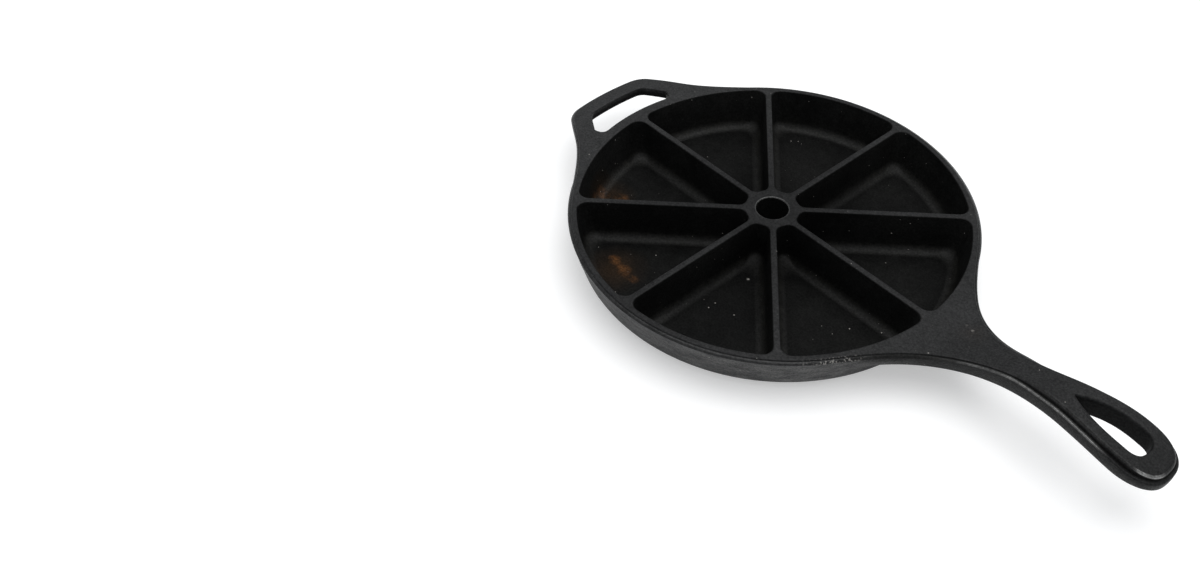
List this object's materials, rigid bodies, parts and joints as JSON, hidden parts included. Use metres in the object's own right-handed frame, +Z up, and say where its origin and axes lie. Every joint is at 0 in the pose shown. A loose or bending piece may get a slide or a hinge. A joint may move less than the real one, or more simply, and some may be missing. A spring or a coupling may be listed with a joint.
{
  "type": "cornbread skillet",
  "caption": "Round cast-iron pan that bakes wedges: shallow wedge-shaped pockets round a bored hub, with a long arched handle and a helper loop.",
  "frame": {"origin": "middle of the whole length and width, on the ground under the base", "axes": "+X along the long handle, away from the bowl; +Z up out of the pockets"},
  "size_m": [0.3946, 0.2306, 0.041],
  "materials": {
    "pan_floor": "seasoned, satin, finely grained by the sand mould",
    "outer_wall": "seasoned, satin, finely grained by the sand mould",
    "hub": "seasoned, satin, finely grained by the sand mould",
    "divider_1": "seasoned, satin, finely grained by the sand mould",
    "divider_2": "seasoned, satin, finely grained by the sand mould",
    "divider_3": "seasoned, satin, finely grained by the sand mould",
    "divider_4": "seasoned, satin, finely grained by the sand mould",
    "divider_5": "seasoned, satin, finely grained by the sand mould",
    "divider_6": "seasoned, satin, finely grained by the sand mould",
    "divider_7": "seasoned, satin, finely grained by the sand mould",
    "divider_8": "seasoned, satin, finely grained by the sand mould",
    "long_handle": "seasoned, satin, finely grained by the sand mould",
    "helper_handle": "seasoned, satin, finely grained by the sand mould"
  },
  "bodies": {
    "root": {"pan_floor": "pan_floor", "outer_wall": "outer_wall", "hub": "hub", "divider_1": "divider_1", "divider_2": "divider_2", "divider_3": "divider_3", "divider_4": "divider_4", "divider_5": "divider_5", "divider_6": "divider_6", "divider_7": "divider_7", "divider_8": "divider_8", "long_handle": "long_handle", "helper_handle": "helper_handle"}
  },
  "joints": []
}
